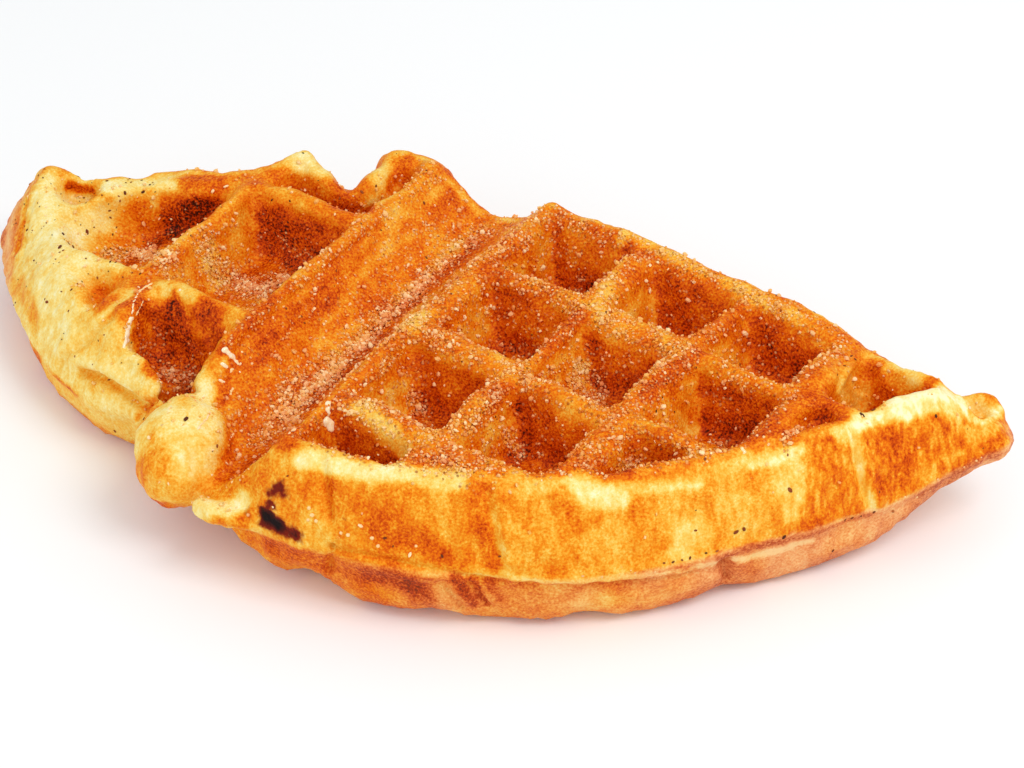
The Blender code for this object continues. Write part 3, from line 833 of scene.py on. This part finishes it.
def crustMaterial():
    material, tree, shader = newMaterial("bakedCrust", 0.5, 0.06)
    marks = {name: markOf(tree, name) for name in ("baked", "sugared", "burnt", "side", "pink")}
    where = objectPlace(tree)
    # fibres of the pulled layers run up the side
    fibre = noise(tree, objectPlace(tree, (1.0, 1.0, 0.15)), 1100.0, detail=3.0)
    baked = plus(tree, marks["baked"], times(tree, shiftBy(tree, fibre, 0.75), marks["side"]))
    # the side is less patchy and grainy than the top
    patches = minus(tree, 0.42, times(tree, marks["side"], 0.22))
    grain = plus(tree, 0.30, times(tree, marks["baked"], 0.85))
    grain = minus(tree, grain, times(tree, marks["side"], 0.20))
    dough = useGroup(tree, bakedDough, {"Baked": baked, "Patches": patches, "Grain": grain, "Vector": where})
    # the dough below the seam is dull and pinkish
    dull = ramp(tree, dough.outputs["Value"], dullColours)
    colour = mixColours(tree, times(tree, marks["pink"], 0.85), dough.outputs["Color"], dull)
    # sugar dust over the dough, its dark gaps partly painted shade
    dustAndGapShade = useGroup(tree, sugarDustAndGapShade, {"Amount": marks["sugared"], "Size": 2100.0, "Vector": where})
    dustMask = dustAndGapShade.outputs["Mask"]
    colour = mixColours(tree, times(tree, dustMask, 0.80), colour, dustAndGapShade.outputs["Color"])
    # char has a ragged edge
    char = plus(tree, marks["burnt"], shiftBy(tree, noise(tree, where, 1100.0, 3.0, 0.6), 0.5))
    char = times(tree, minus(tree, char, 0.16), 1.4, clamp=True)
    colour = mixColours(tree, times(tree, char, 2.6, clamp=True), colour, ramp(tree, char, charColours))
    tree.links.new(colour, shader.inputs["Base Color"])
    rough = plus(tree, times(tree, dustMask, 0.25), 0.42)
    rough = minus(tree, rough, times(tree, char, 0.25))
    tree.links.new(rough, shader.inputs["Roughness"])
    skinGrain = noise(tree, where, 1500.0, 4.0, 0.65)
    height = plus(tree, times(tree, skinGrain, 0.45), times(tree, dustMask, 0.35))
    height = plus(tree, height, times(tree, times(tree, fibre, marks["side"]), 0.35))
    bump = addNode(tree, "Bump", {"Height": height, "Strength": 0.8, "Distance": 0.0005})
    tree.links.new(bump.outputs[0], shader.inputs["Normal"])
    return material


skinPoints = meshPoints(skinMesh)
skinNormals = meshNormals(skinMesh)
skinFaces = np.array([face.vertices[:] for face in skinMesh.polygons])
skinMesh.transform(Matrix.Scale(mm, 4))
skinMesh.shade_smooth()
croffleCrust = addPiece("croffle_crust", skinMesh, crustMaterial())
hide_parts("croffle")
print("crust made")


def shapeOf(made):
    # points and faces of a small bmesh, which is then freed
    points = np.array([vert.co[:] for vert in made.verts])
    made.verts.index_update()
    faces = [[vert.index for vert in face.verts] for face in made.faces]
    made.free()
    return points, faces


def sugarCrystal():
    # a worn lump of sugar with uneven corners
    made = bmesh.new()
    bmesh.ops.create_icosphere(made, subdivisions=1, radius=0.55)
    chance = np.random.default_rng(71)
    for vert in made.verts:
        vert.co *= chance.uniform(0.62, 1.2)
    return shapeOf(made)


def roundBit():
    made = bmesh.new()
    bmesh.ops.create_icosphere(made, subdivisions=1, radius=0.5)
    return shapeOf(made)


def plainCrystal():
    made = bmesh.new()
    bmesh.ops.create_cube(made, size=1.0)
    return shapeOf(made)


def scatter(count, density, seed):
    # random places on the crust, more where the density of the point is higher
    chance = np.random.default_rng(seed)
    corners = skinPoints[skinFaces]
    square = np.cross(corners[:, 1] - corners[:, 0], corners[:, 2] - corners[:, 0])
    area = np.linalg.norm(square, axis=1) / 2.0
    weight = area * density[skinFaces].mean(axis=1)
    chosen = chance.choice(len(skinFaces), size=count, p=weight / weight.sum())
    u = chance.random((count, 2))
    u = np.where(u.sum(axis=1, keepdims=True) > 1.0, 1.0 - u, u)
    a, b, c = corners[chosen, 0], corners[chosen, 1], corners[chosen, 2]
    places = a + (b - a) * u[:, :1] + (c - a) * u[:, 1:]
    return places, skinNormals[skinFaces[chosen, 0]], chance, chosen


def turned(count, chance):
    # random turns as matrices
    q = chance.normal(size=(count, 4))
    q /= np.linalg.norm(q, axis=1, keepdims=True)
    w, x, y, z = q.T
    return np.stack([
        np.stack([1 - 2 * (y * y + z * z), 2 * (x * y - w * z), 2 * (x * z + w * y)], axis=1),
        np.stack([2 * (x * y + w * z), 1 - 2 * (x * x + z * z), 2 * (y * z - w * x)], axis=1),
        np.stack([2 * (x * z - w * y), 2 * (y * z + w * x), 1 - 2 * (x * x + y * y)], axis=1),
    ], axis=1)


def layFlat(normals, chance):
    # turns whose third axis is the surface's normal
    side = np.cross(normals, chance.normal(size=normals.shape))
    side /= np.linalg.norm(side, axis=1, keepdims=True)
    return np.stack([side, np.cross(normals, side), normals], axis=2)


def joined(name, shape, places, turns, sizes, tints):
    # one mesh of many copies of a small shape
    base, faces = shape
    count, step = len(places), len(base)
    points = np.einsum("nij,nkj->nki", turns, base[None] * sizes[:, None, :]) + places[:, None, :]
    everyFace = [[index + n * step for index in face] for n in range(count) for face in faces]
    data = bpy.data.meshes.new(name)
    data.from_pydata((inBox(points.reshape(-1, 3)) * mm).tolist(), [], everyFace)
    setAttribute(data, "tint", np.repeat(tints, step))
    return data


def tintedMaterial(name, stops, roughness, gloss):
    material, tree, shader = newMaterial(name, roughness, gloss)
    clouds = shiftBy(tree, noise(tree, objectPlace(tree), 1800.0), 0.3)
    shifted = plus(tree, markOf(tree, "tint"), clouds, clamp=True)
    tree.links.new(ramp(tree, shifted, stops), shader.inputs["Base Color"])
    return material


sugar = {
    "coarse": 2800, "coarseSize": (0.36, 0.92),
    "fine": 10000, "fineSize": (0.20, 0.38),
    "sunk": 0.22,  # share of a crystal that is below the crust
    "white": (255, 227, 174),
    "wet": (232, 140, 68),  # mixed into the crust's colour under the clear crystals
    "clear": 3.0,  # the higher, the fewer crystals are white
    "whitest": 0.95,
}


def sugarMaterial():
    # half clear crystals: the crust's colour shows through, some more white than others
    material, tree, shader = newMaterial("sugar", 0.35, 0.12)
    dough = useGroup(tree, bakedDough, {"Baked": markOf(tree, "baked"), "Vector": objectPlace(tree)})
    warm = mixColours(tree, 0.35, dough.outputs["Color"], linear(*sugar["wet"]))
    colour = mixColours(tree, markOf(tree, "tint"), warm, linear(*sugar["white"]))
    tree.links.new(colour, shader.inputs["Base Color"])
    return material


sugarColour = sugarMaterial()


def sugarPiece(name, shape, count, sizeRange, density, seed, tintShift):
    places, normals, chance, chosen = scatter(count, density, seed)
    size = chance.uniform(*sizeRange, size=(count, 1)) * chance.uniform(0.5, 1.3, size=(count, 3))
    places = places + normals * size.mean(axis=1, keepdims=True) * (0.5 - sugar["sunk"])
    heaped = ease((sugaredValues[skinFaces[chosen, 0]] - 0.72) / 0.2)
    tints = chance.random(count) ** sugar["clear"] * sugar["whitest"]
    tints = np.clip(tints + tintShift + 0.06 * heaped, 0.0, 1.0)
    data = joined(name, shape, places, turned(count, chance), size, tints)
    baked = np.clip(bakedValues[skinFaces[chosen, 0]] - 0.14, 0.2, 0.7)
    setAttribute(data, "baked", np.repeat(baked, len(shape[0])))
    return addPiece(name, data, sugarColour)


# sugar lies on what faces up above the seam, but leaves the darkest places bare
upward = ease((skinNormals[:, 2] + 0.25) / 0.5)
thick = sugaredValues
aboveSeam = ease((skinPoints[:, 2] - seamHeight(skinPoints)) / 2.0)
clumps = np.clip(0.5 + 0.9 * field(skinPoints, 1.5, 67), 0.05, 1.0)
bare = ease((bakedValues - 0.66) / 0.08) * (1.0 - ease((thick - 0.62) / 0.12))
dusted = upward * aboveSeam * (1.0 - 0.94 * sideValues) * (1.0 - 0.85 * bare)
coarseDensity = (thick ** 7.0 + 0.06 * thick + 0.012) * clumps * dusted
fineDensity = (thick ** 1.6 + 0.012) * dusted
sugarPiece("sugar_coarse", sugarCrystal(), sugar["coarse"], sugar["coarseSize"], coarseDensity, 101, 0.14)
sugarPiece("sugar_fine", plainCrystal(), sugar["fine"], sugar["fineSize"], fineDensity, 103, -0.06)
print("sugar made")

cinnamon = {
    "count": 380, "size": (0.15, 0.42),
    "colours": [(0.0, (84, 36, 14)), (0.6, (136, 62, 24)), (1.0, (172, 92, 40))],
    # bits large enough to see one by one: length in millimetres and place in the photo's pixels
    "large": [
        (1.1, 87, 232), (1.0, 63, 234), (1.1, 60, 247), (0.9, 47, 302), (0.8, 73, 247), (0.8, 125, 193),
        (0.8, 143, 192), (1.1, 186, 419), (0.7, 217, 446), (0.7, 144, 419), (0.7, 115, 431), (1.1, 862, 415),
        (0.8, 874, 410), (1.0, 736, 532), (0.9, 744, 529), (1.1, 790, 490), (0.9, 784, 537), (0.8, 873, 410),
        (0.7, 936, 416), (0.7, 705, 459), (0.8, 362, 192), (0.6, 303, 153), (0.6, 376, 186), (0.7, 424, 203),
        (0.8, 270, 415), (0.9, 284, 418), (0.7, 385, 538), (0.7, 442, 556), (0.6, 150, 185), (0.6, 107, 181),
        (0.5, 664, 563), (0.6, 673, 562), (0.5, 682, 560), (0.6, 690, 558), (0.5, 706, 553), (0.6, 717, 551),
        (0.6, 845, 520), (0.7, 852, 518), (0.5, 861, 516), (0.6, 874, 512), (0.8, 903, 522), (0.6, 842, 560),
    ],
}


def cinnamonPiece():
    leftEnd = ease((-58.0 - skinPoints[:, 0] + iron["crossing"][0]) / 12.0)
    density = (0.6 * thick ** 6.0 + 0.02 + 0.22 * leftEnd) * upward * aboveSeam * (1.0 - 0.7 * sideValues)
    places, normals, chance, _ = scatter(cinnamon["count"], density, 107)
    size = chance.uniform(*cinnamon["size"], size=(len(places), 1)) * np.array([[1.5, 0.8, 0.35]])
    seen = [onCrust(crustTree, px, py) for _, px, py in cinnamon["large"]]
    length = np.array([[large[0]] for large in cinnamon["large"]])
    places = np.concatenate([places, [place[:] for place, _ in seen]])
    normals = np.concatenate([normals, [normal[:] for _, normal in seen]])
    size = np.concatenate([size, length * np.array([[1.0, 0.6, 0.3]])])
    tints = np.clip(chance.normal(0.4, 0.3, size=len(places)), 0.0, 1.0)
    turns = layFlat(normals, chance)
    data = joined("cinnamon_specks", roundBit(), places + normals * 0.05, turns, size, tints)
    return addPiece("cinnamon_specks", data, tintedMaterial("cinnamon", cinnamon["colours"], 0.7, 0.2))


cinnamonPiece()
print("cinnamon made")

# sugar that melted and set in glossy strings and drops, whose white is partly a painted highlight
glaze = {
    "cell": 0.14,
    "flat": 0.55,
    "spacing": 2.2,  # of a string's beads, in pixels for each millimetre of its radius
    "stray": 2.2,  # how far they stray, in the same way
    # radius in millimetres, whiteness (0 is burnt sugar, the whitest partly a painted highlight) and route
    # in the photo's pixels
    "strings": [
        (0.26, 0.80, [(152, 283), (144, 288), (138, 293)]),
        (0.24, 0.90, [(138, 293), (134, 302), (132, 314)]),
        (0.42, 0.95, [(131, 318), (128, 328), (127, 338), (124, 347)]),
        (0.18, 0.80, [(143, 300), (140, 308), (136, 316)]),
        (0.26, 0.85, [(211, 412), (206, 419), (198, 429)]),
        (0.48, 0.95, [(225, 350), (229, 354), (234, 357)]),
        (0.36, 0.90, [(235, 360), (238, 364)]),
        (0.44, 0.95, [(222, 364), (227, 367)]),
        (0.34, 0.85, [(233, 368), (231, 372)]),
        (0.36, 0.90, [(219, 380), (224, 382)]),
        (0.30, 0.80, [(233, 388), (230, 394)]),
        (0.48, 0.95, [(328, 402), (327, 408), (329, 413)]),
        (0.85, 0.90, [(328, 420), (330, 428)]),
        (0.42, 0.80, [(352, 391), (356, 396)]),
        (0.40, 0.80, [(340, 409), (348, 412), (357, 412)]),
        (0.40, 0.85, [(741, 449), (745, 452)]),
    ],
    "drops": [
        (0.42, 0.78, 309, 508), (0.48, 0.80, 312, 515), (0.42, 0.76, 316, 521), (0.38, 0.76, 308, 520),
        (0.40, 0.80, 341, 533), (0.44, 0.80, 348, 535), (0.44, 0.82, 372, 538), (0.40, 0.80, 378, 546),
        (0.36, 0.76, 416, 546), (0.40, 0.60, 248, 515), (0.36, 0.90, 180, 290), (0.30, 0.85, 212, 475),
        (0.34, 0.80, 242, 352), (0.30, 0.90, 240, 372), (0.36, 0.80, 232, 482), (0.34, 0.70, 240, 480),
        (0.32, 0.65, 583, 576), (0.30, 0.70, 602, 577), (0.34, 0.70, 655, 572), (0.30, 0.65, 635, 573),
        # the last drop here, on the burn, is a painted highlight
        (0.34, 0.95, 97, 248), (0.30, 0.90, 330, 402), (0.30, 0.95, 273, 507),
        (0.30, 0.72, 905, 497), (0.32, 0.75, 917, 497), (0.28, 0.72, 930, 491), (0.32, 0.72, 946, 486),
        (0.30, 0.75, 958, 479), (0.28, 0.70, 970, 476), (0.32, 0.72, 984, 470), (0.26, 0.72, 996, 463),
    ],
    "colours": [
        (0.0, (44, 16, 10)), (0.3, (150, 70, 24)), (0.55, (226, 150, 84)), (0.8, (252, 210, 140)),
        (1.0, (255, 240, 206)),
    ],
}


def glazePiece():
    chance = np.random.default_rng(211)
    beads = []
    for radius, white, route in glaze["strings"]:
        for (ax, ay), (bx, by) in zip(route, route[1:]):
            steps = max(2, int(math.hypot(bx - ax, by - ay) / (radius * glaze["spacing"])))
            for t in np.linspace(0.0, 1.0, steps, endpoint=False):
                px = ax + (bx - ax) * t + chance.normal() * radius * glaze["stray"]
                py = ay + (by - ay) * t + chance.normal() * radius * glaze["stray"]
                beads.append((radius * chance.uniform(0.45, 1.2), white, px, py))
        beads.append((radius * 0.8, white, *route[-1]))
    beads += glaze["drops"]
    seen = [onCrust(crustTree, px, py) for _, _, px, py in beads]
    places = np.array([place[:] for place, _ in seen])
    normals = np.array([normal[:] for _, normal in seen])
    sizes = np.array([[2.0 * bead[0]] for bead in beads]) * np.array([[1.0, 1.0, glaze["flat"]]])
    turns = layFlat(normals, chance)
    soft = joined("beads", roundBit(), places, turns, sizes, np.zeros(len(beads)))
    data = withModifiers(soft, [
        ("REMESH", {"mode": "VOXEL", "voxel_size": glaze["cell"] * mm}),
        ("SMOOTH", {"factor": 0.6, "iterations": 4}),
    ])
    data.name = "melted_sugar_and_highlights"
    points = meshPoints(data) / mm
    away = np.linalg.norm(points[:, None, :] - places[None], axis=2)
    whitesAndHighlights = np.array([bead[1] for bead in beads])
    setAttribute(data, "tint", whitesAndHighlights[np.argmin(away, axis=1)])
    data.shade_smooth()
    return addPiece("melted_sugar_and_highlights", data, tintedMaterial("meltedSugarAndHighlight", glaze["colours"], 0.08, 0.6))


glazePiece()
print("melted sugar made")


# floor, light and camera, in metres
studio = {
    "floor": (251, 253, 254),
    "floorSize": 3.0,
    "floorDrop": 0.0003,  # keeps the floor clear of the croffle's lowest crests
    "world": 0.75,
    "aim": (0.0, 0.0, 0.01),
    # place, size and power
    "key": ((0.28, -0.20, 0.52), 0.30, 1.42),
    "fill": ((-0.50, -0.35, 0.30), 0.50, 0.64),
}

floorMesh = bmesh.new()
bmesh.ops.create_grid(floorMesh, x_segments=1, y_segments=1, size=studio["floorSize"])
floorData = bpy.data.meshes.new("floor")
floorMesh.to_mesh(floorData)
floorMesh.free()
floorData.transform(Matrix.Translation((0.0, 0.0, -studio["floorDrop"])))
floor = newObject("floor", floorData)
floorMaterial, _, floorShader = newMaterial("paleFloor", 0.9)
floorShader.inputs["Base Color"].default_value = linear(*studio["floor"])
floorData.materials.append(floorMaterial)

world = bpy.data.worlds.new("studio")
world.use_nodes = True
sky = world.node_tree.nodes["Background"]
sky.inputs["Color"].default_value = (1.0, 1.0, 1.0, 1.0)
sky.inputs["Strength"].default_value = studio["world"]
bpy.context.scene.world = world

for name in ("key", "fill"):
    place, size, power = studio[name]
    lamp = bpy.data.lights.new(name, "AREA")
    lamp.size = size
    lamp.energy = power
    softLight = newObject(name, lamp)
    softLight.location = place
    towards = Vector(place) - Vector(studio["aim"])
    softLight.rotation_euler = towards.to_track_quat("Z", "Y").to_euler()

eye, _, _ = cameraFrame()
lens = bpy.data.cameras.new("camera")
lens.sensor_width = 36.0
lens.lens = shot["lens"]
camera = newObject("camera", lens)
camera.location = eye * mm
camera.rotation_euler = (math.radians(90.0) - shot["down"], 0.0, 0.0)
bpy.context.scene.camera = camera
bpy.context.scene.view_settings.view_transform = "Standard"
bpy.context.scene.view_settings.look = "None"
